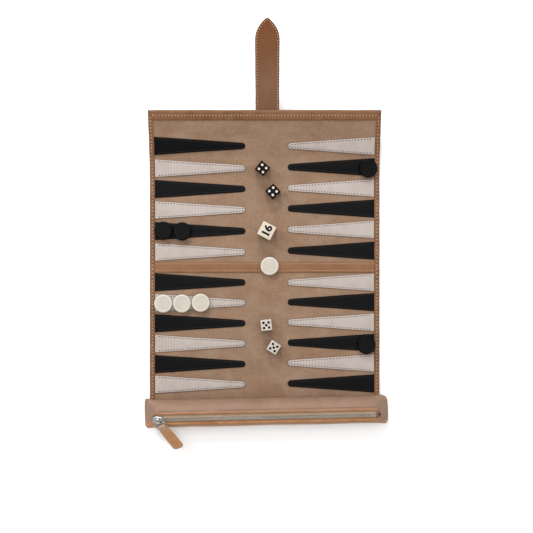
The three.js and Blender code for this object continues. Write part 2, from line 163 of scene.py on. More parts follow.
# ---------------------------------------------------------------- meshes
class Shape:
    """Points and faces, gathered into one object. A mark is the number of a face's material."""

    def __init__(self):
        self.points, self.faces, self.marks, self.count = [], [], [], 0

    def add(self, points, faces, mark=0):
        points = np.asarray(points, float).reshape(-1, 3)
        self.points.append(points)
        self.faces.extend(tuple(int(i) + self.count for i in f) for f in faces)
        self.marks.extend(mark if isinstance(mark, list) else [mark] * len(faces))
        self.count += len(points)
        return self

    def loft(self, rings, mark=0, caps=True, loop=False):
        rings = np.asarray(rings, float)
        n, m = rings.shape[:2]
        index = np.arange(n * m).reshape(n, m)
        beside = np.roll(index, -1, axis=1)
        quads = []
        for i in range(n if loop else n - 1):
            k = (i + 1) % n
            quads += np.stack([index[i], beside[i], beside[k], index[k]], axis=1).tolist()
        if caps and not loop:
            quads += [index[0].tolist(), index[-1][::-1].tolist()]
        return self.add(rings, quads, mark)

    def slab(self, xs, ys, low, high, mark=0):
        """A closed sheet over a grid. low and high give its two faces' heights."""
        x, y = np.meshgrid(xs, ys, indexing="ij")
        points = np.stack([np.concatenate([v.ravel(), v.ravel()]) for v in (x, y)], axis=1)
        z = np.concatenate([np.broadcast_to(side(x, y), x.shape).ravel() for side in (high, low)])
        n, m = len(xs), len(ys)
        index = np.arange(n * m).reshape(n, m)
        a, b, c, d = index[:-1, :-1], index[1:, :-1], index[1:, 1:], index[:-1, 1:]
        top = np.stack([v.ravel() for v in (a, b, c, d)], axis=1)
        rim = np.concatenate([index[:, 0], index[-1, 1:], index[-2::-1, -1], index[0, -2:0:-1]])
        after = np.roll(rim, -1)
        sides = np.stack([rim, rim + n * m, after + n * m, after], axis=1)
        faces = np.concatenate([top, top[:, ::-1] + n * m, sides])
        return self.add(np.column_stack([points, z]), faces.tolist(), mark)

    def object(self, name, materials, place=None, sharp=40):
        points = np.concatenate(self.points)
        if place is not None:
            points = place(points)
        mesh = bpy.data.meshes.new(name)
        mesh.from_pydata((points * MM).tolist(), [], self.faces)
        for m in materials:
            mesh.materials.append(m)
        mesh.polygons.foreach_set("material_index", self.marks)
        bm = bmesh.new()
        bm.from_mesh(mesh)
        bmesh.ops.recalc_face_normals(bm, faces=bm.faces[:])
        bm.to_mesh(mesh)
        bm.free()
        mesh.polygons.foreach_set("use_smooth", [True] * len(mesh.polygons))
        mesh.set_sharp_from_angle(angle=math.radians(sharp))
        obj = bpy.data.objects.new(name, mesh)
        bpy.context.scene.collection.objects.link(obj)
        return obj


def piece(shape, name, materials, on, stands_for=(), place=None, sharp=40):
    """Makes an object from a shape. `on` is the body that it rides on, or a stretch, which bakes the object where
    it stands.
    """
    obj = shape.object(name, materials, place, sharp)
    if stands_for:
        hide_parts(*stands_for)
    if isinstance(on, str):
        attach(obj, on)
    else:
        on.ride(obj)
    return obj


# A stitch's own shape: a capsule one unit long, half a unit to each side.
CAPSULE = [(-0.5, 0.06), (-0.44, 0.31), (-0.3, 0.5), (0.3, 0.5), (0.44, 0.31), (0.5, 0.06)]
AROUND = np.linspace(0, 2 * math.pi, 7, endpoint=False)
STITCH = Shape().loft([[(x, r * math.cos(a), r * math.sin(a)) for a in AROUND] for x, r in CAPSULE])


def stitches(shape, centres, along, up, length, width, height, mark=0, slant=0.0, form=STITCH):
    """Capsules laid at the centres, along the directions given."""
    centres, along = np.atleast_2d(centres).astype(float), np.atleast_2d(along).astype(float)
    up = np.broadcast_to(np.asarray(up, float), centres.shape)
    along = along / np.linalg.norm(along, axis=1)[:, None]
    side = np.cross(up, along)
    side /= np.linalg.norm(side, axis=1)[:, None]
    up = np.cross(along, side)
    a = math.radians(slant)
    along, side = along * math.cos(a) + side * math.sin(a), side * math.cos(a) - along * math.sin(a)
    base = form.points[0]
    for c, t, s, u in zip(centres, along, side, up):
        shape.add(c + np.outer(base[:, 0] * length, t) + np.outer(base[:, 1] * width, s)
                  + np.outer(base[:, 2] * height, u), form.faces, mark)
    return shape


def paced(path, pitch, start=0.0, end=0.0):
    """Places and directions at an even pitch along a path of points."""
    path = np.asarray(path, float)
    long = np.concatenate([[0], np.cumsum(np.linalg.norm(np.diff(path, axis=0), axis=1))])
    span = long[-1] - start - end
    n = max(1, round(span / pitch))
    at = start + (np.arange(n) + 0.5) * span / n
    here = np.stack([np.interp(at, long, path[:, k]) for k in range(path.shape[1])], axis=1)
    ahead = np.stack([np.interp(at + 0.2, long, path[:, k]) for k in range(path.shape[1])], axis=1)
    behind = np.stack([np.interp(at - 0.2, long, path[:, k]) for k in range(path.shape[1])], axis=1)
    return here, ahead - behind


def sewn(shape, path, pitch, up, size, mark=0, gap_shade=None, start=0.0, end=0.0):
    """A row of stitches along a path, with dark capsules between them: painted shade in the stitch groove."""
    centres, along = paced(path, pitch, start, end)
    stitches(shape, centres, along, up, *size, mark, slant=6)
    if gap_shade is not None:
        step = np.diff(centres, axis=0)
        wide = pitch - size[0] + 0.35
        stitches(shape, centres[:-1] + step / 2, step, up, wide, size[1] * 0.85, size[2] * 0.4, gap_shade)
    return shape


def wire(shape, path, radius, sides=10):
    """A closed ring of round wire that follows a flat path."""
    path = np.asarray(path, float)
    tangent = np.roll(path, -1, axis=0) - np.roll(path, 1, axis=0)
    tangent /= np.linalg.norm(tangent, axis=1)[:, None]
    upright = np.array([0.0, 0.0, 1.0])
    out = np.cross(tangent, upright)
    a = np.linspace(0, 2 * math.pi, sides, endpoint=False)
    rings = [p + radius * (np.outer(np.cos(a), o) + np.outer(np.sin(a), upright)) for p, o in zip(path, out)]
    return shape.loft(rings, loop=True)


def stacked(outline, levels):
    """A solid whose outline is drawn at each height z, k times its size."""
    outline = np.asarray(outline, float)
    return Shape().loft([np.column_stack([outline * k, np.full(len(outline), z)]) for z, k in levels])


def octagon(a, b, c, d):
    return [(-a, b), (-c, d), (c, d), (a, b), (a, -b), (c, -d), (-c, -d), (-a, -b)]


def lathe(shape, profile, sides, place=None):
    """A turned form from (radius, height) points, capped at its ends."""
    a = np.linspace(0, 2 * math.pi, sides, endpoint=False)
    rings = np.array([[(r * math.cos(t), r * math.sin(t), h) for t in a] for r, h in profile])
    if place is not None:
        rings = place(rings.reshape(-1, 3)).reshape(rings.shape)
    return shape.loft(rings)


# ---------------------------------------------------------------- materials
def colour(r, g, b, share=0.72, gloss=0.012):
    """The surface's own linear colour, from how it looks under the scene's light with its gloss on it."""
    linear = [c / 255 / 12.92 if c <= 10 else ((c / 255 + 0.055) / 1.055) ** 2.4 for c in (r, g, b)]
    return (*[max(c - gloss, 0.25 * c) * share for c in linear], 1)


def grey(share):
    return share, share, share, 1


class Material:
    """A procedural material on the Principled shader. Sizes are in millimetres on the object."""

    def __init__(self, name, **inputs):
        self.material = bpy.data.materials.new(name)
        self.material.use_nodes = True
        self.nodes, self.links = self.material.node_tree.nodes, self.material.node_tree.links
        self.shader = self.nodes["Principled BSDF"]
        for key, value in inputs.items():
            self.shader.inputs[key.replace("_", " ")].default_value = value
        self.place = self.nodes.new("ShaderNodeTexCoord").outputs["Object"]
        self.normal = None

    def node(self, kind, settings=(), **inputs):
        n = self.nodes.new("ShaderNode" + kind)
        for key, value in dict(settings).items():
            setattr(n, key, value)
        for key, value in inputs.items():
            numbered = key[0] == "i" and key[1:].isdigit()
            socket = n.inputs[int(key[1:]) if numbered else key.replace("_", " ")]
            if isinstance(value, bpy.types.NodeSocket):
                self.links.new(value, socket)
            else:
                socket.default_value = value
        return n

    def stretched(self, x=1.0, y=1.0, z=1.0, turn=0.0):
        turn = (0, 0, math.radians(turn))
        return self.node("Mapping", Vector=self.place, Scale=(x, y, z), Rotation=turn).outputs[0]

    def noise(self, size, detail=3.0, rough=0.55, at=None, twist=0.0):
        n = self.node("TexNoise", Vector=at or self.place, Scale=1000 / size, Detail=detail, Roughness=rough,
                      Distortion=twist)
        return n.outputs["Fac"]

    def cells(self, size, at):
        n = self.node("TexVoronoi", {"feature": "SMOOTH_F1"}, Vector=at, Scale=1000 / size)
        return n.outputs["Distance"]

    def waves(self, size, direction, twist=0.0):
        n = self.node("TexWave", {"bands_direction": direction}, Vector=self.place, Scale=1000 / size / 3.2,
                      Distortion=twist)
        return n.outputs["Fac"]

    def ramp(self, factor, stops):
        n = self.node("ValToRGB", Fac=factor)
        while len(n.color_ramp.elements) < len(stops):
            n.color_ramp.elements.new(0.5)
        for element, (position, value) in zip(n.color_ramp.elements, stops):
            element.position, element.color = position, value
        return n.outputs["Color"]

    def mix(self, factor, a, b, blend="MIX"):
        n = self.node("Mix", {"data_type": "RGBA", "blend_type": blend}, i0=factor, i6=a, i7=b)
        return n.outputs[2]

    def math(self, operation, a, b=0.0):
        return self.node("Math", {"operation": operation}, i0=a, i1=b).outputs[0]

    def bump(self, height, depth, strength):
        """Adds relief `depth` millimetres deep."""
        inputs = {"Height": height, "Distance": depth * MM, "Strength": strength}
        if self.normal is not None:
            inputs["Normal"] = self.normal
        self.normal = self.node("Bump", **inputs).outputs[0]

    def done(self, base=None, roughness=None):
        if base is not None:
            self.links.new(base, self.shader.inputs["Base Color"])
        if roughness is not None:
            self.links.new(roughness, self.shader.inputs["Roughness"])
        if self.normal is not None:
            self.links.new(self.normal, self.shader.inputs["Normal"])
        return self.material

    def between(self, factor, low, high):
        return self.node("MapRange", Value=factor, To_Min=low, To_Max=high).outputs[0]


def leather(name, dark, middle, light, grain, depth=0.16, rough=0.5, patch=9.0, fleck=0.35, far=None,
            **inputs):
    """Grained leather: pebbled relief, soft creases, colour that drifts, and darker pits.

    far is a colour that it turns to along Y, from where to where in metres, and how much of it."""
    m = Material(name, **{"Specular_IOR_Level": 0.25, **inputs})
    drift = m.noise(patch, 5.0, 0.6, twist=0.4)
    tone = m.ramp(drift, [(0.25, colour(*dark)), (0.5, colour(*middle)), (0.76, colour(*light))])
    if far:
        y = m.node("SeparateXYZ", Vector=m.place).outputs["Y"]
        other, start, end, most = far
        share = m.node("MapRange", Value=y, From_Min=start, From_Max=end, To_Min=0.0, To_Max=most).outputs[0]
        tone = m.mix(share, tone, colour(*other))
    pebbles = m.cells(grain, m.node("Mapping", Vector=m.place, Scale=(1, 1.25, 1)).outputs[0])
    pits = m.ramp(pebbles, [(0.25, grey(1)), (0.8, grey(1 - fleck))])
    fine = m.noise(0.6, 2.0)
    shade = m.ramp(fine, [(0.3, grey(0.9)), (0.7, grey(1))])
    base = m.mix(1.0, m.mix(1.0, tone, pits, "MULTIPLY"), shade, "MULTIPLY")
    m.bump(m.noise(5.5, 3.0, 0.5), depth * 1.6, 0.5)
    m.bump(pebbles, depth, 0.55)
    m.bump(fine, depth * 0.35, 0.4)
    return m.done(base, m.between(drift, rough - 0.09, rough + 0.1))


def suede_material():
    m = Material("suede", Roughness=0.95, Sheen_Weight=0.1, Sheen_Roughness=0.5, Specular_IOR_Level=0.06)
    m.shader.inputs["Sheen Tint"].default_value = colour(225, 200, 180, 1, 0)
    brushed = m.noise(26.0, 4.0, 0.6, at=m.stretched(1.0, 1.5, 1.0, 18), twist=0.5)
    tone = m.ramp(brushed, [(0.28, colour(146, 118, 97)), (0.45, colour(152, 125, 105)),
                            (0.58, colour(157, 131, 110)), (0.74, colour(163, 138, 119))])
    warm = m.ramp(m.noise(38.0, 3.0), [(0.42, grey(1)), (0.68, (1.0, 0.955, 0.91, 1))])
    nap = m.noise(2.4, 5.0, 0.85)
    shade = m.ramp(nap, [(0.32, (0.78, 0.765, 0.75, 1)), (0.68, grey(1.12))])
    base = m.mix(1.0, m.mix(1.0, tone, warm, "MULTIPLY"), shade, "MULTIPLY")
    m.bump(brushed, 0.25, 0.25)
    m.bump(nap, 0.26, 0.6)
    m.bump(m.noise(0.35, 2.0, 0.6), 0.12, 0.6)
    return m.done(base)


def thread_material(name, dark, light, rough=0.6):
    m = Material(name, Roughness=rough, Specular_IOR_Level=0.3)
    strand = m.waves(0.5, "DIAGONAL", 1.2)
    base = m.ramp(m.noise(1.3, 3.0), [(0.35, colour(*dark)), (0.65, colour(*light))])
    m.bump(strand, 0.12, 0.7)
    return m.done(base)


def plastic_material(name, dark, light, rough, cloud=7.0, **inputs):
    """Moulded resin with faint clouds, fine scratches and a soft gloss."""
    m = Material(name, **inputs)
    cloudy = m.noise(cloud, 4.0, 0.55, twist=0.6)
    base = m.ramp(cloudy, [(0.3, colour(*dark)), (0.7, colour(*light))])
    scratch = m.noise(0.5, 4.0, 0.7, at=m.stretched(0.18, 1.6, 1.0, 37))
    m.bump(m.noise(1.6, 3.0), 0.02, 0.4)
    m.bump(scratch, 0.012, 0.35)
    return m.done(base, m.between(scratch, rough - 0.06, rough + 0.14))


def metal_material(name, dark, light, rough):
    m = Material(name, Metallic=1.0)
    wear = m.noise(2.2, 4.0, 0.6)
    base = m.ramp(wear, [(0.35, colour(*dark, 1, 0)), (0.65, colour(*light, 1, 0))])
    m.bump(m.noise(0.4, 3.0, 0.6, at=m.stretched(0.3, 1.5, 1.0)), 0.02, 0.5)
    return m.done(base, m.between(wear, rough + 0.14, rough))


def tape_material():
    m = Material("zip_tape", Roughness=0.92, Sheen_Weight=0.15, Specular_IOR_Level=0.2)
    along, across = m.waves(0.55, "X"), m.waves(0.7, "Y")
    weave = m.math("MAXIMUM", along, across)
    tone = m.ramp(m.noise(6.0, 3.0), [(0.3, colour(168, 142, 116)), (0.7, colour(188, 163, 136))])
    lines = m.ramp(weave, [(0.35, (0.8, 0.79, 0.77, 1)), (0.9, grey(1))])
    m.bump(weave, 0.16, 0.8)
    return m.done(m.mix(1.0, tone, lines, "MULTIPLY"))


SUEDE = suede_material()
BINDING = leather("binding_leather", (120, 80, 51), (138, 97, 67), (152, 111, 80), 0.8, rough=0.55,
                  patch=13.0, fleck=0.25)
BACK = leather("back_leather", (112, 72, 46), (136, 92, 62), (152, 106, 76), 1.1, rough=0.55, patch=14.0)
BAR = leather("bar_leather", (134, 89, 56), (147, 103, 69), (158, 115, 82), 0.75, rough=0.55, patch=12.0,
              fleck=0.25)
STRAP = leather("strap_leather", (122, 84, 58), (133, 94, 68), (142, 103, 77), 0.85, patch=30.0, fleck=0.25,
                far=((124, 73, 34), 0.2, 0.258, 0.95))
WHITE = leather("white_leather", (184, 171, 163), (192, 180, 172), (199, 188, 181), 0.7, 0.1, 0.55, 16.0, 0.1)
BLACK = leather("black_leather", (22, 20, 21), (27, 25, 26), (32, 30, 31), 0.7, 0.1, 0.5, 12.0, 0.2,
                Specular_IOR_Level=0.07)
# Brown for the white points' sloped sides: partly their cut edge, partly a painted contact shadow round each
# point.
CUT_EDGE_AND_SHADOW = leather("cut_edge_and_painted_shadow", (92, 62, 42), (110, 76, 52), (128, 92, 66), 0.5, 0.1, 0.8, 3.0)
RAW_BLACK = leather("black_cut_edge", (40, 28, 22), (54, 38, 29), (68, 48, 36), 0.5, 0.1, 0.8, 3.0)
POUCH = leather("pouch_leather", (147, 114, 93), (157, 126, 106), (165, 136, 117), 1.0, 0.12, 0.5, 24.0, 0.2,
                far=((192, 140, 96), -0.1635, -0.1685, 0.9))
FOLD = leather("fold_leather", (190, 154, 130), (202, 167, 143), (212, 179, 156), 0.7, 0.1, 0.45)
LIP = leather("lip_leather", (176, 114, 66), (195, 138, 92), (207, 155, 110), 0.8, 0.1)
TAB = leather("tab_leather", (190, 131, 82), (205, 147, 96), (215, 160, 110), 0.7, 0.1, 0.45, fleck=0.15)
PALE_THREAD = thread_material("pale_thread", (190, 152, 124), (226, 198, 172))
GREY_THREAD = thread_material("grey_thread", (66, 55, 49), (92, 79, 72))
BLACK_THREAD = thread_material("black_thread", (24, 22, 23), (34, 31, 32))
# Dark brown for the gaps between stitches: painted shade where the thread sinks into its groove.
STITCH_GAP_SHADE = thread_material("painted_stitch_gap_shade", (70, 42, 24), (96, 62, 40), 0.9)
BROWN_THREAD = thread_material("brown_thread", (158, 124, 99), (192, 160, 135))
IVORY = plastic_material("ivory", (191, 181, 168), (201, 192, 180), 0.36)
# A lighter copy of ivory for the checkers' rounded rims: a painted highlight where the rim catches the light.
IVORY_RIM_HIGHLIGHT = plastic_material("ivory_painted_rim_highlight", (206, 197, 184), (214, 206, 194), 0.34)
EBONY = plastic_material("ebony", (10, 9, 10), (16, 15, 16), 0.38, Specular_IOR_Level=0.07)
CUBE_IVORY = plastic_material("cube_ivory", (209, 195, 173), (219, 206, 186), 0.4, cloud=5.0)
INK = plastic_material("ink", (12, 11, 11), (20, 18, 18), 0.45, Specular_IOR_Level=0.1)
PIP_WHITE = plastic_material("pip_white", (226, 214, 198), (240, 231, 219), 0.4)
METAL = metal_material("metal", (128, 126, 125), (206, 204, 201), 0.18)
TEETH = metal_material("teeth_metal", (206, 196, 180), (246, 240, 230), 0.34)
TAPE = tape_material()
# Thread, then the painted shade in the gaps between its stitches.
PALE_SEAM = [PALE_THREAD, STITCH_GAP_SHADE]


# ---------------------------------------------------------------- mat
def build_sheets(stretch):
    """The suede face and the leather back of one stretch, laminated."""
    tuck, between = 0.5, 1.25  # how far the sheets go under the bindings, and where the two meet
    ys = stretch.steps(high=min(stretch.high, TOP_BINDING + tuck))
    xs = np.linspace(-BINDING_INNER - tuck, BINDING_INNER + tuck, 43)
    nodes = [NODE_OF[b] for b in (stretch.upper, stretch.lower) if b in NODE_OF]
    level = lambda x, y: between + 0 * x
    suede = Shape().slab(xs, ys, level, lambda x, y: MAT_THICK + 0.1 * ripple(x, y, 34, 1))
    upper = piece(suede, f"suede_{stretch.name}", [SUEDE], stretch, nodes, stretch.place)
    back = Shape().slab(xs, ys, lambda x, y: 0.4 + 0.08 * ripple(x, y, 28, 2), level)
    under = piece(back, f"back_{stretch.name}", [BACK], stretch, (), stretch.place)


BINDING_PROFILE = [(0.0, 2.15), (0.05, 2.7), (0.35, 2.98), (1.5, 3.1), (2.3, 3.04), (2.8, 3.0), (3.3, 3.04),
                   (4.2, 3.08), (5.0, 2.92), (5.5, 2.45), (5.62, 1.5), (5.5, 0.6), (5.0, 0.1), (4.1, 0.0),
                   (2.8, 0.08), (1.4, 0.0), (0.4, 0.08), (0.0, 0.35)]
BINDING_PITCH, BINDING_SEAM, MITRE_FROM = 3.85, 2.8, 150.0


def build_side_bindings(stretch):
    """The folded strip that binds both sides, with its stitches on the face and the back."""
    strip, thread = Shape(), Shape()
    ys = stretch.steps()
    for side in (-1, 1):
        rings = []
        for y in ys:
            ring = []
            for across, z in BINDING_PROFILE:
                ring_y = y
                if stretch.high == MAT_END and y > MITRE_FROM:  # the corner is mitred against the top binding
                    stop = TOP_BINDING + across / BINDING_WIDTH * (MAT_END - TOP_BINDING) - 0.4
                    ring_y = MITRE_FROM + (y - MITRE_FROM) * (stop - MITRE_FROM) / (MAT_END - MITRE_FROM)
                edge = 0.16 * ripple(0, ring_y, 21, 3 + side) * min(1, across / 2)
                pulled_in = 0.07 - 0.07 * math.cos(ring_y * 2 * math.pi / BINDING_PITCH)
                low = pulled_in if 2.2 < across < 3.4 else 0
                ring.append((side * (BINDING_INNER + across + edge), ring_y, z - low * (1 if z > 2 else -1)))
            rings.append(ring)
        strip.loft(rings)
        stop = min(stretch.high, MAT_END - 6.5)
        n = round((stop - stretch.low) / BINDING_PITCH)
        at = stretch.low + (np.arange(n) + 0.5) * (stop - stretch.low) / n
        for z, up in ((3.06, 1), (0.0, -1)):
            centres = np.stack([np.full(n, side * (BINDING_INNER + BINDING_SEAM)), at, np.full(n, z)], axis=1)
            stitches(thread, centres, np.tile((0, 1, 0), (n, 1)), (0, 0, up), 2.1, 0.7, 0.45, slant=5)
            # Dark capsules in the gaps between the stitches: painted shade in the stitch groove.
            centres[:, 1] += (stop - stretch.low) / n / 2
            stitches(thread, centres[:-1], np.tile((0, 1, 0), (n - 1, 1)), (0, 0, up), 1.9, 0.7, 0.3, 1)
    piece(strip, f"binding_{stretch.name}", [BINDING], stretch, (), stretch.place)
    piece(thread, f"binding_stitches_{stretch.name}", PALE_SEAM, stretch, (), stretch.place)


def build_top_binding():
    place = curled(3)
    profile = [(0.0, 2.15), (0.05, 2.7), (0.45, 2.98), (2.6, 3.12), (4.9, 3.06), (5.6, 3.0), (6.3, 3.06),
               (8.0, 3.14), (9.6, 3.02), (10.6, 2.6), (11.0, 1.9), (11.05, 1.2), (10.8, 0.4), (9.8, 0.05),
               (7.0, 0.0), (4.5, 0.08), (2.2, 0.0), (0.4, 0.08), (0.0, 0.35)]
    seam, deep = 5.6, MAT_END - TOP_BINDING
    rings = []
    for s in np.linspace(-1, 1, 131):
        ring = []
        for across, z in profile:
            x = s * (BINDING_INNER - 0.15 + across / deep * BINDING_WIDTH)
            edge = 0.35 * ripple(x, 0, 52, 5) * across / deep
            ring.append((x, TOP_BINDING + across + edge, z + 0.05 * ripple(x, across * 4, 12, 6)))
        rings.append(ring)
    strip = Shape().loft(rings)
    piece(strip, "top_binding", [BINDING], "top_margin", ["top_margin"], place)
    thread = Shape()
    reach = BINDING_INNER + 1.2
    for z, up in ((3.02, 1), (0.0, -1)):
        path = [(x, TOP_BINDING + seam, z) for x in np.linspace(-reach, reach, 90)]
        sewn(thread, path, 3.4, (0, 0, up), (2.0, 0.75, 0.45), 0, 1)
    piece(thread, "top_binding_stitches", PALE_SEAM, "top_margin", (), place)


def build_bar():
    """The leather strip across the middle, with two rows of stitches."""
    seam = 3.8
    half = [(0.0, 3.3), (2.4, 3.28), (3.3, 3.24), (seam, 3.2), (4.3, 3.22), (5.3, 3.14), (5.85, 2.9),
            (6.0, 2.5), (5.9, 2.26)]
    profile = half[::-1] + [(-y, z) for y, z in half[1:]]
    rings = []
    for x in np.linspace(-BINDING_INNER + 0.1, BINDING_INNER - 0.1, 111):
        shift = 0.16 * ripple(x, 3, 40, 8)
        rings.append([(x, y + shift * (1 if y > 0 else 0.6), z + 0.05 * ripple(x, y * 3, 14, 9))
                      for y, z in profile])
    piece(Shape().loft(rings), "bar_strip", [BAR], "bar", ["centre_bar"])
    thread = Shape()
    for y in (-seam, seam):
        path = [(x, y + 0.16 * float(ripple(x, 3, 40, 8)), 3.24) for x in np.linspace(-119.5, 119.5, 120)]
        sewn(thread, path, 3.1, (0, 0, 1), (1.5, 1.0, 0.5), 0, 1)
    piece(thread, "bar_stitches", PALE_SEAM, "bar")


EDGE_STEPS, ARC_STEPS, ACROSS = 30, 10, 6


def point_outline(inset, tip):
    """A point's outline, inset by a distance: its upper edge from the base, the tip, back, and the base."""
    half, r = POINT_HALF - inset, POINT_TIP_RADIUS - inset
    x0, x1 = POINT_BASE - inset, tip + POINT_TIP_RADIUS
    s = np.linspace(0, 1, EDGE_STEPS)
    upper = np.stack([x0 + (x1 - x0) * s, half + (r - half) * s], axis=1)
    a = np.radians(np.linspace(90, 270, ARC_STEPS + 2)[1:-1])
    arc = np.stack([x1 + r * np.cos(a), r * np.sin(a)], axis=1)
    base = np.stack([np.full(ACROSS - 1, x0), np.linspace(-half, half, ACROSS + 1)[1:-1]], axis=1)
    return np.concatenate([upper, arc, upper[::-1] * (1, -1), base])


def cover(shape, ring, first, crown, mark):
    """Faces over a ring made by point_outline, from new points across it, raised in the middle."""
    pairs = EDGE_STEPS + ARC_STEPS // 2
    last = 2 * pairs - 1
    rows, points = [], []
    for i in range(pairs):
        a, b = ring[i], ring[last - i]
        if i == 0:
            rows.append([first] + [first + len(ring) - 1 - k for k in range(ACROSS - 1)] + [first + last])
            continue
        row = [first + i]
        if i < pairs - 1:
            for k in range(1, ACROSS):
                t = k / ACROSS
                points.append(a + (b - a) * t + np.array([0, 0, crown * math.sin(math.pi * t)]))
                row.append(shape.count + len(points) - 1)
        rows.append(row + [first + last - i])
    faces = []
    for row, after in zip(rows[:-2], rows[1:-1]):
        faces += [(row[k], row[k + 1], after[k + 1], after[k]) for k in range(ACROSS)]
    faces.append((*rows[-2], *rows[-1][::-1]))
    base = shape.count
    shape.add(points, [tuple(i - base for i in f) for f in faces], mark)


def build_points(row):
    """A row's two leather points and the thread along their edges."""
    level, body, stitched = max(0, 3 - row), f"row_{row:02d}", 1.75
    bottom, top = MAT_THICK + 0.08, MAT_THICK + 1.12
    rings_at = [(0.1, bottom), (-0.3, bottom + 0.1), (-0.2, bottom + 0.5), (0.1, top - 0.2),
                (0.5, top - 0.07), (1.0, top - 0.03), (1.4, top - 0.03), (stitched, top - 0.06), (2.1, top - 0.03), (2.6, top)]
    thread = Shape()
    for word, side in (("left", -1), ("right", 1)):
        black = (row % 2 == 1) == (side < 0)
        kind = "black" if black else "white"
        tip, y = POINT_TIP[side], row_y(row) + POINT_SHIFT[side][row - 1]

        def lay(points):
            points = np.asarray(points, float).copy()
            seed = row * 2 + (side > 0)
            points[:, 1] += 0.18 * ripple(points[:, 0], 0, 55, seed)
            points[:, 2] += 0.05 * ripple(points[:, 0], points[:, 1], 17, seed)
            if side < 0:
                points[:, :2] *= -1
            points[:, 1] += y
            return points

        shape = Shape()
        outlines = [(point_outline(inset, tip), z) for inset, z in rings_at]
        rings = [np.column_stack([outline, np.full(len(outline), z)]) for outline, z in outlines]
        # The sides take mark 1: on the white points that is the cut edge brown with a painted contact shadow.
        shape.loft(rings[:4], 1, caps=False)
        shape.loft(rings[4:], caps=False)
        seam = (np.arange(2 * len(rings[0])) + 3 * len(rings[0])).reshape(2, -1)
        around = np.roll(seam, -1, axis=1)
        shape.faces += np.stack([seam[0], around[0], around[1], seam[1]], axis=1).tolist()
        shape.marks += [0] * seam.shape[1]
        cover(shape, rings[0], 0, 0.0, 1)
        cover(shape, rings[-1], (len(rings) - 1) * len(rings[0]), 0.1, 0)
        name = f"point_{row:02d}_{word}_{kind}"
        # White points: their sides are brown, partly the cut edge and partly a painted contact shadow.
        looks = [BLACK, RAW_BLACK] if black else [WHITE, CUT_EDGE_AND_SHADOW]
        piece(shape, "leather_" + name, looks, body, [name], lambda p: curled(level)(lay(p)))
        edge = point_outline(stitched, tip)[: 2 * EDGE_STEPS + ARC_STEPS]
        path = np.column_stack([edge, np.full(len(edge), top - 0.04)])
        for points in sewn(Shape(), path, 3.3, (0, 0, 1), (1.35, 1.1, 0.5), start=1.5, end=1.5).points:
            thread.add(lay(points), STITCH.faces, int(black))
    piece(thread, f"point_stitches_{row:02d}", [GREY_THREAD, BLACK_THREAD], body, (), curled(level))


# ---------------------------------------------------------------- strap
class StrapStretch:
    """Part of the strap by one of its two folds, at the middle of its thickness. Its pieces are baked where they
    are.
    """

    middle = -1.3

    def __init__(self, a, b, fold, reach):
        self.a, self.b, self.fold, self.reach = a, b, fold, reach

    def ride(self, obj):
        start, end = curled(3)([(0, self.fold + way * self.reach, self.middle) for way in (-1, 1)])
        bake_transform(obj)


def strap_half(y):
    """Half the strap's width at y, with its pointed arch, and how fast it narrows."""
    blunt, power, point = 4.0, 2.27, 1.08
    wide = STRAP_HALF + 0.3 * float(smooth((y - MAT_END) / 70))

    def arch(along):
        """Half the width at a distance from the end."""
        if along <= 0:
            return 0.0
        if along < 0.84:
            return math.sqrt(blunt**2 - (blunt - along) ** 2)
        return wide * (1 - max(0, 1 - (along + point) / (STRAP_TIP + point)) ** power)

    along = STRAP_END - y
    return arch(along), (arch(along - 0.05) - arch(along + 0.05)) / 0.1


def build_strap():
    root, cut, seam = MAT_END - STRAP_ROOT, 197.0, 1.9
    lower = StrapStretch("top_margin", "strap_base", STRAP_FOLD, 5.0)
    upper = StrapStretch("strap_base", "strap_tip", STRAP_MIDDLE, 8.0)
    cuts = [(root, cut, lower, "strap_lower", "strap_base"), (cut, STRAP_END, upper, "strap_upper", "strap_tip")]
    half_profile = [(0.35, -2.3), (0.0, -1.95), (0.0, -1.5), (0.18, -1.32), (0.0, -1.14), (0.02, -0.75),
                    (0.4, -0.36), (1.1, -0.27), (1.6, -0.29), (seam, -0.33), (2.2, -0.29), (4.0, -0.22),
                    (8.0, -0.15)]
    for low, high, stretch, name, node in cuts:
        ys = np.linspace(low, min(high, STRAP_END - STRAP_TIP), 24)
        if high == STRAP_END:
            ys = np.concatenate([ys, STRAP_END - STRAP_TIP * (1 - np.linspace(0, 1, 34)[1:]) ** 2])
        rings = []
        for y in ys:
            half, slope = strap_half(y)
            half = max(half, 0.12) + 0.12 * float(ripple(0, y, 25, 11))
            lean = math.hypot(1, slope)
            right = [(half - min(d * lean, half * (0.02 + min(d, 8) / 8.2)), z) for d, z in half_profile]
            ring = right + [(-x, z) for x, z in right[::-1]]
            rings.append([(STRAP_X + x, y, z + 0.05 * float(ripple(x, y, 18, 12))) for x, z in ring])
        piece(Shape().loft(rings), name, [STRAP], stretch, [node], curled(3))
        thread = Shape()
        path = [(y, *strap_half(y)) for y in np.arange(low + 1.0, high, 0.5)]
        edge = [(half - seam * math.hypot(1, slope), y) for y, half, slope in path]
        edge = [(x, y) for x, y in edge if x > 0]
        for side in (-1, 1):
            for z, up in ((-0.32, 1), (-2.3, -1)):
                line = [(STRAP_X + side * x, y, z) for x, y in edge]
                sewn(thread, line, 3.0, (0, 0, up), (1.5, 0.75, 0.4), 0, 1)
        if low == root:
            for y in (root + 2.2, MAT_END - 5.0):
                line = [(STRAP_X + x, y, -2.3) for x in np.linspace(-STRAP_HALF + 2.4, STRAP_HALF - 2.4, 12)]
                sewn(thread, line, 3.3, (0, 0, -1), (2.1, 0.7, 0.45))
        piece(thread, name + "_stitches", PALE_SEAM, stretch, (), curled(3))


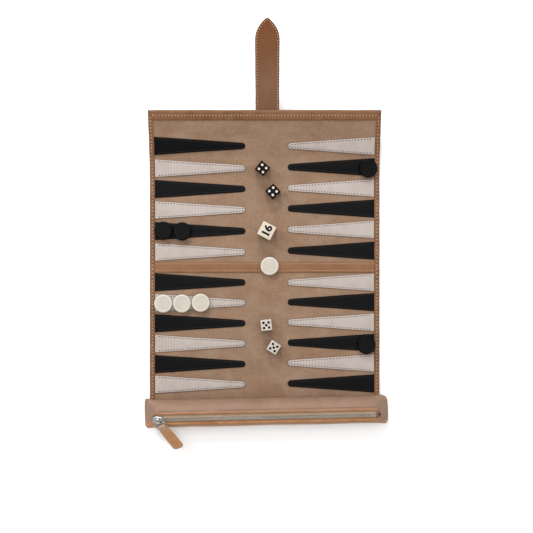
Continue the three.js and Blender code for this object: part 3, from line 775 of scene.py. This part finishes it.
# ---------------------------------------------------------------- game pieces
CHECKER_THICK, CHECKER_FACE = 5, 7.95
CHECKER_PROFILE = [(0, 0.08), (6.0, 0.08), (7.9, 0.08), (8.2, 0.03), (8.5, 0.0), (8.9, 0.04), (9.5, 0.3),
                   (9.87, 0.75), (10.0, 1.35), (10.0, 2.5)]
CHECKERS = [("white_checker_1", -110.6, -39.7, ON_POINT, 0), ("white_checker_2", -90.3, -39.7, ON_POINT, 0),
            ("white_checker_3", -69.8, -38.9, ON_POINT, 0), ("white_checker_4", 5.5, 1.2, ON_BAR, 0),
            ("black_checker_1", -110.5, 39.9, ON_POINT, 0), ("black_checker_2", -90.2, 39.2, ON_POINT, 0),
            ("black_checker_3", 113.2, 108.5, ON_POINT, 1), ("black_checker_4", 111.2, -84.8, ON_POINT, 0)]


def build_checkers():
    upper = [(r, CHECKER_THICK - h) for r, h in CHECKER_PROFILE[:-1]][::-1]
    profile = [(max(r, 0.01), h) for r, h in CHECKER_PROFILE + upper]
    for name, x, y, z, level in CHECKERS:
        shape = lathe(Shape(), profile, 72)
        looks, slot = ([IVORY, IVORY_RIM_HIGHLIGHT], "ivory") if name.startswith("white") else ([EBONY, EBONY], "ebony")
        from_axis = np.hypot(*shape.points[0][:, :2].T)
        # Faces out from CHECKER_FACE take the lighter rim copy on the white checkers: a painted rim highlight.
        shape.marks = [0 if len(f) > 4 or from_axis[f[0]] < CHECKER_FACE else 1 for f in shape.faces]
        piece(shape, "turned_" + name, looks, name, [name], standing(x, y, z, level=level), sharp=60)


# Where pips sit on a face, by its number, as shares of their spread.
CORNERS = [(-1, -1), (-1, 1), (1, -1), (1, 1)]
PIPS = {1: [(0, 0)], 2: [(-1, -1), (1, 1)], 3: [(-1, -1), (0, 0), (1, 1)], 4: CORNERS, 5: CORNERS + [(0, 0)],
        6: [(x, y) for y in (-1, 1) for x in (-1.12, 0, 1.12)]}
# Each face of a cube: its outward, its own right and its own up direction.
FACES = {"top": ((0, 0, 1), (1, 0, 0), (0, 1, 0)), "bottom": ((0, 0, -1), (1, 0, 0), (0, -1, 0)),
         "front": ((0, -1, 0), (1, 0, 0), (0, 0, 1)), "back": ((0, 1, 0), (-1, 0, 0), (0, 0, 1)),
         "right": ((1, 0, 0), (0, 1, 0), (0, 0, 1)), "left": ((-1, 0, 0), (0, -1, 0), (0, 0, 1))}
# Where a die stands, how far it is turned, the level of its row, and its numbers in the order of FACES.
DICE = [("black_die_1", -2.2, 108.9, -39.0, 1, (4, 3, 1, 6, 5, 2)),
        ("black_die_2", 9.1, 82.5, -48.0, 0, (4, 3, 2, 5, 1, 6)),
        ("white_die_1", 1.9, -62.9, 6.5, 0, (5, 2, 3, 4, 1, 6)),
        ("white_die_2", 10.0, -87.1, -32.0, 0, (5, 2, 4, 3, 1, 6))]


def rounded_cube(size, edge, segments, material):
    """A cube of `size` millimetres on the origin, its edges and corners rounded."""
    mesh = bpy.data.meshes.new("cube")
    bm = bmesh.new()
    bmesh.ops.create_cube(bm, size=size)
    bmesh.ops.bevel(bm, geom=bm.edges[:] + bm.verts[:], offset=edge, segments=segments, affect="EDGES",
                    profile=0.5)
    bm.to_mesh(mesh)
    bm.free()
    mesh.materials.append(material)
    obj = bpy.data.objects.new("cube", mesh)
    bpy.context.scene.collection.objects.link(obj)
    return obj


def die_shape(numbers, body, dot):
    """A die with hollow pips, as a shape in its own frame, resting on z = 0."""
    cube = rounded_cube(DIE_SIZE, 0.75, 4, body)
    balls = Shape()
    reach, radius, sunk = 2.8, 1.54, 0.55
    around = np.linspace(0, 2 * math.pi, 20, endpoint=False)
    down = np.linspace(0, math.pi, 9)[1:-1]
    ball = radius * np.array([[(math.sin(t) * math.cos(p), math.sin(t) * math.sin(p), math.cos(t))
                               for p in around] for t in down])
    for axes, number in zip(FACES.values(), numbers):
        out, right, up = np.array(axes, float)
        for u, v in PIPS[number]:
            balls.loft(ball + out * (DIE_SIZE / 2 + sunk) + right * u * reach + up * v * reach)
    cutter = balls.object("pips", [dot])
    cutter.scale = (1 / MM,) * 3
    bpy.context.view_layer.update()
    mod = cube.modifiers.new("pips", "BOOLEAN")
    mod.operation, mod.object, mod.solver, mod.material_mode = "DIFFERENCE", cutter, "EXACT", "TRANSFER"
    cut = bpy.data.meshes.new_from_object(cube.evaluated_get(bpy.context.evaluated_depsgraph_get()))
    names = [m.name if m else "" for m in cut.materials]
    marks = [int(names[p.material_index] == dot.name) for p in cut.polygons]
    shape = Shape().add([v.co for v in cut.vertices], [tuple(p.vertices) for p in cut.polygons], marks)
    shape.points[0] += (0, 0, DIE_SIZE / 2)
    for o in (cube, cutter):
        bpy.data.objects.remove(o)
    return shape


def build_dice():
    for name, x, y, turn, level, numbers in DICE:
        body, dot, slot = (IVORY, INK, "ivory") if name.startswith("white") else (EBONY, PIP_WHITE, "ebony")
        piece(die_shape(numbers, body, dot), "cut_" + name, [body, dot], name, [name],
              standing(x, y, ON_MAT, turn, level), sharp=35)


CUBE_FACES = {"top": ("16", 90), "front": ("2", 0), "right": ("4", 90), "back": ("8", 180), "left": ("32", 0),
              "bottom": ("64", 0)}


def build_doubling_cube():
    half = CUBE_SIZE / 2
    body = rounded_cube(CUBE_SIZE, 1.2, 5, CUBE_IVORY)
    shape = Shape().add([v.co + Vector((0, 0, half)) for v in body.data.vertices],
                        [tuple(p.vertices) for p in body.data.polygons])
    bpy.data.objects.remove(body)
    numbers = Shape()
    for face, (text, turn) in CUBE_FACES.items():
        font = bpy.data.curves.new("number", "FONT")
        font.body, font.align_x, font.align_y, font.resolution_u = text, "CENTER", "CENTER", 6
        font.size, font.offset, font.extrude, font.space_character = 11.6, 0.42, 0.06, 0.94
        label = bpy.data.objects.new("number", font)
        bpy.context.scene.collection.objects.link(label)
        bpy.context.view_layer.update()
        mesh = bpy.data.meshes.new_from_object(label.evaluated_get(bpy.context.evaluated_depsgraph_get()))
        out, right, up = np.array(FACES[face], float)
        points = np.array([v.co for v in mesh.vertices])
        points[:, :2] -= (points[:, :2].max(0) + points[:, :2].min(0)) / 2
        polygons = [tuple(p.vertices) for p in mesh.polygons]
        points[:, 0] *= 1.14
        if text == "16":  # the 1 stands on a foot
            low = points[:, 1].min()
            stem = points[(points[:, 1] < low + 0.3) & (points[:, 0] < 0), 0]
            middle = (stem.min() + stem.max()) / 2
            outline = ((-1.75, 0), (1.75, 0), (1.75, 1.2), (-1.75, 1.2))
            foot = [(middle + x, low + y, z) for z in (-0.06, 0.08) for x, y in outline]
            sides = ((0, 1, 2, 3), (7, 6, 5, 4), (0, 4, 5, 1), (1, 5, 6, 2), (2, 6, 7, 3), (3, 7, 4, 0))
            polygons += [tuple(i + len(points) for i in f) for f in sides]
            points = np.concatenate([points, foot]) + (1.1, 0, 0)
        c, s = math.cos(math.radians(turn)), math.sin(math.radians(turn))
        u, v = points[:, 0] * c - points[:, 1] * s, points[:, 0] * s + points[:, 1] * c
        places = np.outer(u, right) + np.outer(v, up) + np.outer(points[:, 2] + half + 0.02, out)
        numbers.add(places + (0, 0, half), polygons)
        bpy.data.objects.remove(label)
    place, node = standing(2.4, 39.5, ON_MAT, -27.5), "doubling_cube"
    piece(shape, "moulded_doubling_cube", [CUBE_IVORY], node, [node], place, sharp=50)
    piece(numbers, "cube_numbers", [INK], node, (), place)


# ---------------------------------------------------------------- pouch
def in_pouch(points):
    """From the pouch's own frame to the row frame."""
    points = np.asarray(points, float).reshape(-1, 3)
    c, s = math.cos(math.radians(POUCH_YAW)), math.sin(math.radians(POUCH_YAW))
    x, y = points[:, 0], points[:, 1]
    return np.stack([x * c - y * s + POUCH_AT[0], x * s + y * c + POUCH_AT[1], points[:, 2]], axis=1)


END_Z = 11.0  # how high the pressed ends are held


PRESSED_WIDTH, PRESSED_HEIGHT = 16.8, 2.2  # half the width and height of the pressed ends


def tube(x, degrees, depth):
    """A place on the pressed tube, in the pouch's own frame. 0 degrees is the mat side, 90 the top."""
    x, degrees, depth = np.broadcast_arrays(*[np.asarray(v, float) for v in (x, degrees, depth)])
    from_end = POUCH_HALF - np.abs(x)
    u = np.clip((from_end - 1.0) / 15, 0, 1)
    full = 1 - (1 - u) ** 1.7
    c, s = np.cos(np.radians(degrees)), np.sin(np.radians(degrees))
    corner = np.where(c < 0, 5.0, np.where(x > 0, 9.0, 3.0))
    kept = np.sqrt(np.maximum(0, corner**2 - (corner - from_end) ** 2))
    cut = np.where(from_end < corner, corner - kept, 0)
    half_width = PRESSED_WIDTH + (POUCH_RADIUS - PRESSED_WIDTH) * full - cut + depth
    half_height = PRESSED_HEIGHT + (POUCH_RADIUS - PRESSED_HEIGHT) * full + depth
    z = END_Z + (POUCH_RADIUS - END_Z) * full
    return np.stack([x, half_width * c, z + half_height * s], axis=-1)


def crumple(x, degrees):
    """How far the leather stands in or out of the true tube: slack, and creases towards the pressed ends."""
    from_end = POUCH_HALF - np.abs(x)
    y = np.asarray(degrees, float) * 0.257  # millimetres round the tube
    slack = 0.28 * ripple(x, y, 48, 21) + 0.1 * ripple(x, y, 15, 22)
    pressed = np.exp(-(((from_end - 13) / 8) ** 2)) * 0.4 * ripple(x * 0.35, y, 9, 23 + (np.asarray(x) > 0))
    return slack * np.clip(from_end / 18, 0.15, 1) + pressed * np.clip(from_end / 6, 0, 1)


PER_MM = 180 / math.pi / POUCH_RADIUS  # degrees round the tube for a millimetre
WINDOW_MIDDLE, WINDOW_SPREAD = (WINDOW_FROM + WINDOW_TO) / 2, (WINDOW_TO - WINDOW_FROM) / 2
# Across a window edge: distance from it, and how far the folded leather stands out there.
LIP_PROFILE = [(0.0, -0.75), (0.12, -0.2), (0.4, 0.22), (0.9, 0.42), (1.8, 0.48), (2.9, 0.4), (3.4, 0.26),
               (3.75, 0.2), (4.1, 0.18), (4.7, 0.1), (5.6, 0.0)]


def window_half(x):
    """Half the window's height at x, in degrees, with its rounded ends."""
    inside = np.minimum(x - WINDOW_LEFT, WINDOW_RIGHT - x)
    return WINDOW_SPREAD * np.sqrt(np.clip(1 - (1 - np.clip(inside / 5.0, 0, 1)) ** 2, 0, 1))


def build_shell():
    near = np.array([0, 0.25, 0.7, 1.3, 2.1, 3.0, 3.8, 4.5, 5.1, 6, 7, 8.0, 8.6, 9.3, 10.2, 11.4, 13, 14.8,
                     16.5])
    inside = np.array([0, 0.12, 0.5, 1.1, 2.0, 3.2, 5.0])
    xs = np.concatenate([near - POUCH_HALF, POUCH_HALF - near, WINDOW_LEFT + inside, WINDOW_RIGHT - inside,
                         np.arange(-114, 114.1, 2.4), [7 - POUCH_HALF, POUCH_HALF - 7]])
    xs = np.unique(np.round(xs, 3))
    xs = xs[np.concatenate([[True], np.diff(xs) > 0.05])]
    capped = [i for i, x in enumerate(xs) if abs(x) <= POUCH_HALF - 7 + 1e-6]
    away = np.array([s for s, _ in LIP_PROFILE])
    rise = np.array([d for _, d in LIP_PROFILE])
    steps = 54
    shape = Shape()
    outer, inner = [], []
    for x in xs:
        half = float(window_half(x))
        share = half / WINDOW_SPREAD
        first = WINDOW_MIDDLE + half + away * PER_MM
        last = 360 + WINDOW_MIDDLE - half - away[::-1] * PER_MM
        between = np.linspace(first[-1], last[0], steps)[1:-1]
        degrees = np.concatenate([first, between, last])
        depth = np.concatenate([rise * share, np.zeros(len(between)), rise[::-1] * share])
        held = np.concatenate([away / 4, np.ones(len(between)), away[::-1] / 4]) if half else 1
        depth = depth + crumple(x, degrees) * np.clip(held, 0, 1)
        if not half:
            depth[[0, -1]] = depth[[0, -1]].mean()
        outer.append(tube(x, degrees, depth))
        inner.append(tube(x, degrees, np.full(len(degrees), -POUCH_WALL)))
    n, m = len(xs), len(outer[0])
    index = np.arange(n * m).reshape(n, m)
    open_at = window_half(xs) > 0
    index[~open_at, -1] = index[~open_at, 0]
    faces, marks = [], []
    lip = len(away)

    def strip(table, i, k, flip):
        for j in range(m - 1):
            f = [table[i, j], table[i, j + 1], table[k, j + 1], table[k, j]]
            f = list(dict.fromkeys(f))
            if len(f) > 2:
                faces.append(f[::-1] if flip else f)
                edge = j < lip - 4 or j >= m - 5
                marks.append(2 if flip else int(edge and (open_at[i] or open_at[k])))

    for i in range(n - 1):
        strip(index, i, i + 1, False)
    inner_index = index + n * m
    for i, k in zip(capped[:-1], capped[1:]):
        strip(inner_index, i, k, True)
        if open_at[i] or open_at[k]:
            for j in (0, m - 1):
                f = list(dict.fromkeys([index[i, j], index[k, j], inner_index[k, j], inner_index[i, j]]))
                if len(f) > 2:
                    faces.append(f)
                    marks.append(1)
    for i in (capped[0], capped[-1]):
        faces.append(list(inner_index[i, :-1]))
        marks.append(2)
    # The pressed ends: two cut edges of leather with a groove between them.
    groove = []
    for i, way in ((0, -1), (n - 1, 1)):
        ring = outer[i][:-1]
        pushed = ring.copy()
        pushed[:, 2] = END_Z + (ring[:, 2] - END_Z) * 0.12
        pushed[:, 0] -= way * 0.45
        pushed[:, 1] *= 0.985
        start = 2 * n * m + len(groove)
        groove += list(pushed)
        for j in range(m - 1):
            k = (j + 1) % (m - 1)
            faces.append([index[i, j], index[i, k], start + k, start + j])
            marks.append(3)
        faces.append(list(range(start, start + m - 1)))
        marks.append(3)
    points = np.concatenate([np.concatenate(outer), np.concatenate(inner), groove])
    used = sorted({int(i) for f in faces for i in f})
    new = {old: i for i, old in enumerate(used)}
    shape.add(points[used], [[new[int(i)] for i in f] for f in faces], marks)
    looks = [POUCH, LIP, BACK, BINDING]
    piece(shape, "pouch_tube", looks, "pouch", ["pouch_shell"], in_pouch, sharp=50)


def build_pouch_stitches():
    thread, seam = Shape(), 3.75
    for edge, way, mark in ((WINDOW_FROM, -1, 0), (WINDOW_TO, 1, 1)):
        degrees = edge + way * seam * PER_MM
        xs = np.linspace(WINDOW_LEFT + 3, WINDOW_RIGHT - 3, 200)
        path = tube(xs, degrees, 0.27 + crumple(xs, degrees) * 0.94)
        a = math.radians(degrees)
        sewn(thread, path, 3.0, (0, math.cos(a), math.sin(a)), (1.6, 1.0, 0.6), mark, 2)
    for end in (-1, 1):
        x = end * (POUCH_HALF - 4.0)
        for way in (1, -1):
            y = np.linspace(-14.0, 14.0, 40)
            bow = 3.2 * np.clip((np.abs(y) - 10.5) / 3.5, 0, 1) ** 2
            xs = x - end * bow
            half_width = tube(xs, np.where(y > 0, 0, 180), 0.0)[:, 1]
            degrees = np.degrees(np.arccos(np.clip(y / np.abs(half_width), -0.97, 0.97)))
            path = tube(xs, way * degrees, 0.18 + crumple(xs, way * degrees))
            sewn(thread, path, 3.0, (0, 0, way), (1.6, 1.0, 0.65), 1, 2)
    # The third look is the painted shade in the gaps between the stitches.
    piece(thread, "pouch_stitches", [BROWN_THREAD, PALE_THREAD, STITCH_GAP_SHADE], "pouch", (), in_pouch)


TAPE_GAP = 6.4  # degrees from the middle of the teeth to either tape


def build_zip():
    x0, x1 = WINDOW_LEFT - 1.5, WINDOW_RIGHT + 1.5
    xs = np.linspace(x0, x1, 110)
    tapes = Shape()
    for low, high in ((WINDOW_FROM - 8, ZIP_DEG - TAPE_GAP), (ZIP_DEG + TAPE_GAP, WINDOW_TO + 8)):
        inner_edge = high if high < ZIP_DEG + 1 else low
        degrees = np.linspace(low, high, 9)
        bead = 0.45 * np.exp(-(((degrees - inner_edge) / PER_MM / 0.9) ** 2))  # the cord that the teeth clamp
        # The tape bows out to the teeth.
        bead += 0.75 * smooth(1 - np.abs(degrees - inner_edge) / (3.6 * PER_MM))
        rings = []
        for x in xs:
            sag = 0.12 * float(ripple(x, low, 13, 31))
            top = tube(x, degrees, -1.8 + bead + sag)
            bottom = tube(x, degrees[::-1], -2.4 + bead[::-1] * 0.8 + sag)
            rings.append(np.concatenate([top, bottom]))
        tapes.loft(rings)
    piece(tapes, "zip_tapes", [TAPE], "pouch", ["zipper_chain"], in_pouch)
    tooth = stacked(octagon(0.5, 0.6, 0.36, 0.92), ((-0.5, 0.8), (-0.2, 1.0), (0.25, 1.0), (0.5, 0.72)))
    teeth, margin = Shape(), 3.5
    long = x1 - x0 - 2 * margin
    n = int(long / 1.5)
    for i in range(n):
        x = x0 + margin + (i + 0.5) * long / n
        degrees = ZIP_DEG + (PER_MM if i % 2 else -PER_MM)
        centre = tube(x, degrees, -1.0)
        a = math.radians(degrees)
        stitches(teeth, centre[None], [(1, 0, 0)], (0, math.cos(a), math.sin(a)), 1.4, 0.95, 1.5, form=tooth)
    piece(teeth, "zip_teeth", [TEETH], "pouch", (), in_pouch, sharp=50)
    a = math.radians(ZIP_DEG)
    block = stacked(octagon(0.5, 0.35, 0.35, 0.5), ((-0.5, 0.85), (-0.2, 1), (0.3, 1), (0.5, 0.8)))
    stop = stitches(Shape(), tube(x1 - 5.2, ZIP_DEG, -1.0)[None], [(1, 0, 0)], (0, math.cos(a), math.sin(a)),
                    3.4, 5.4, 2.0, form=block)
    piece(stop, "zip_end_stop", [STRAP], "pouch", (), in_pouch, sharp=50)


SLIDER_X, PULL_HEIGHT, PULL_PLANE, PULL_SWING = -116.0, 4.0, 36.0, -64.0


def zip_frame(depth, tilt, spin=0.0):
    """From a frame on the zip at the slider, tilted about X from upright, to the row frame."""
    turn = np.array(Matrix.Rotation(math.radians(tilt), 3, "X") @ Matrix.Rotation(math.radians(spin), 3, "Z"))
    at = tube(SLIDER_X, ZIP_DEG, depth)
    return lambda points: in_pouch(np.asarray(points, float).reshape(-1, 3) @ turn.T + at)


def build_slider():
    on_zip = zip_frame(0.0, ZIP_DEG - 90)
    half_plan = [(-5.5, -2.0), (-5.2, -2.6), (-2.4, -3.9), (-1.6, -4.0), (4.8, -3.1), (5.5, -2.5)]
    plan = half_plan + [(5.5, 0)] + [(x, -y) for x, y in half_plan[::-1]] + [(-5.6, 0)]
    shape = stacked(plan, ((-0.1, 0.93), (0.15, 1.0), (0.85, 1.0), (1.2, 0.94), (1.42, 0.8), (1.5, 0.4)))
    flange = ((-0.4, -0.5), (0.4, -0.5), (0.5, -0.3), (0.45, 0.3), (-0.45, 0.3), (-0.5, -0.3))
    for side in (-1, 1):  # the flanges that hold the tapes
        rail = [(-4.6, side * 2.6), (-2.2, side * 3.6), (4.6, side * 2.75)]
        shape.loft([[(x, y + dy, z) for dy, z in flange] for x, y in rail])
    lean = np.array(Matrix.Rotation(math.radians(PULL_PLANE - (ZIP_DEG - 90)), 3, "X"))
    stand = lambda p: p @ lean.T + (0, 0, PULL_HEIGHT)
    lathe(shape, [(0.01, -3.2), (2.3, -3.0), (2.1, -2.3), (1.4, -1.8), (0.95, -1.2), (0.9, 0), (0.9, 1.2),
                  (1.9, 1.25), (2.2, 1.45), (2.15, 1.75), (1.5, 2.0), (0.6, 2.1), (0.01, 2.12)], 28, stand)
    piece(shape, "slider_body", [METAL], "zip_slider", ["zip_slider"], on_zip, sharp=45)


def rounded_box_path(x0, x1, half, radius, steps=6):
    near, far, side = x0 + radius, x1 - radius, half - radius
    corners = [(far, side, 0), (near, side, 90), (near, -side, 180), (far, -side, 270)]
    turns = [(cx, cy, math.radians(a + k * 90 / steps)) for cx, cy, a in corners for k in range(steps + 1)]
    return [(cx + radius * math.cos(t), cy + radius * math.sin(t), 0) for cx, cy, t in turns]


def build_pull():
    on_pull = zip_frame(PULL_HEIGHT, PULL_PLANE, PULL_SWING)
    link = Shape()
    a = np.linspace(0, 2 * math.pi, 28, endpoint=False)
    wire(link, [(2.15 * math.cos(t), 2.15 * math.sin(t), 0) for t in a], 0.72)
    wire(link, rounded_box_path(4.15, 8.45, 6.25, 1.3), 0.72)
    stitches(link, [(3.25, 0, 0)], [(1, 0, 0)], (0, 0, 1), 1.9, 2.2, 1.4)
    piece(link, "pull_link", [METAL], "pull_ring", ["pull_ring"], on_pull, sharp=60)
    # The tab: one strip of leather folded round the link, its two layers sewn together.
    eye, bend, end, half, corner = 8.45, 1.82, 45.65, 5.8, 2.8
    layer = 0.6
    meet = math.asin(layer / bend)
    rounding = end - corner * (1 - np.cos(np.linspace(0, math.pi / 2, 10)[1:]))
    xs = np.concatenate([[end], rounding, np.linspace(end - corner, eye + 2.2, 24)[1:]])
    under = [(x, -layer, (0, -1)) for x in xs]
    around = [(eye + bend * math.cos(t), bend * math.sin(t), (math.cos(t), math.sin(t)))
              for t in np.linspace(-meet, -2 * math.pi + meet, 22)]
    over = [(x, layer, (0, 1)) for x in xs[::-1]]
    rings, thick = [], 0.52
    for x, z, (nx, nz) in under + around + over:
        past = max(0.0, x - (end - corner))
        belly = half * (0.86 + 0.14 * float(smooth((x - eye) / 22)))
        wide = belly - corner + math.sqrt(max(corner**2 - past**2, 0.0)) + 0.08 * float(ripple(x, 0, 14, 41))
        right = [(wide - 0.25, -thick), (wide, -thick + 0.25), (wide, thick - 0.3),
                 (wide - 0.35, thick - 0.04), (wide - 1.3, thick), (wide - 1.7, thick - 0.1), (wide - 2.1, thick)]
        left = [(-y, d) for y, d in right]
        section = left[:1] + right + [(0, thick + 0.06)] + left[:0:-1]
        if wide < 2.4:
            section = [(max(-wide, min(wide, y)), d) for y, d in section]
        rings.append([(x + nx * d, y, z + nz * d) for y, d in section])
    shape = Shape().loft(rings)
    shape.marks = [int(min(shape.points[0][i, 0] for i in f) < eye + 4.0) for f in shape.faces]
    piece(shape, "leather_tab", [TAB, FOLD], "pull_tab", ["pull_tab"], on_pull, sharp=50)
    thread = Shape()
    a = np.linspace(-math.pi / 2, math.pi / 2, 16)
    reach, turn = half - 1.9, corner - 1.2
    for z, up in ((1.14, 1), (-1.14, -1)):
        path = [(eye + 5.5, -reach + 0.6, z), (eye + 22, -reach, z)]
        path += [(end - 1.8 - turn + turn * math.cos(t),
                  math.copysign(reach - turn, t) + turn * math.sin(t), z) for t in a]
        path += [(eye + 22, reach, z), (eye + 5.5, reach - 0.6, z)]
        sewn(thread, path, 3.0, (0, 0, up), (1.9, 0.6, 0.4))
        across = [(eye + 4.6, -reach + 0.6, z), (eye + 4.6, reach - 0.6, z)]
        stitches(thread, *paced(across, 2.4), (0, 0, up), 1.7, 0.6, 0.4)
    piece(thread, "tab_stitches", [PALE_THREAD], "pull_tab", (), on_pull)


# ---------------------------------------------------------------- camera, floor and light
def build_studio():
    scene = bpy.context.scene
    camera = bpy.data.objects.new("camera", bpy.data.cameras.new("camera"))
    camera.data.lens, camera.data.sensor_width = 61.4, 36.0
    camera.location, camera.data.clip_start = (0.0021, 0.0008, 1.0), 0.01
    scene.collection.objects.link(camera)
    scene.camera = camera

    floor_look = Material("floor", Roughness=0.9, Specular_IOR_Level=0.1)
    tone = floor_look.ramp(floor_look.noise(160.0), [(0.3, grey(0.93)), (0.7, grey(0.95))])
    span = np.linspace(-3000, 3000, 3)
    floor = Shape().slab(span, span, lambda x, y: -6.0 + 0 * x, lambda x, y: -2.5 + 0 * x)
    floor = floor.object("floor", [floor_look.done(tone)])

    world = bpy.data.worlds.new("world")
    world.use_nodes = True
    sky = world.node_tree.nodes["Background"].inputs
    sky["Color"].default_value, sky["Strength"].default_value = grey(1), 0.75
    scene.world = world
    scene.view_settings.view_transform = "Standard"

    for name, at, size, power in (("key_from_strap_end", (-0.15, 1.25, 0.85), 0.4, 13.0),
                                  ("key_from_left", (-0.95, 0.75, 0.95), 0.35, 7.5),
                                  ("overhead", (0.1, 0.3, 1.85), 1.5, 16.0)):
        light = bpy.data.objects.new(name, bpy.data.lights.new(name, "AREA"))
        light.data.shape, light.data.size, light.data.energy = "DISK", size, power
        light.location = at
        light.rotation_euler = (-Vector(at)).to_track_quat("-Z", "Y").to_euler()
        scene.collection.objects.link(light)


build_studio()
for stretch in STRETCHES:
    build_sheets(stretch)
    build_side_bindings(stretch)
build_top_binding()
build_bar()
for number in range(1, 13):
    build_points(number)
build_strap()
build_checkers()
build_dice()
build_doubling_cube()
build_shell()
build_pouch_stitches()
build_zip()
build_slider()
build_pull()
for shade, look, slot in (("white", IVORY, "ivory"), ("black", EBONY, "ebony")):
    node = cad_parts[f"stored_{shade}_checkers"]
    node.data.materials.clear()
    node.data.materials.append(look)
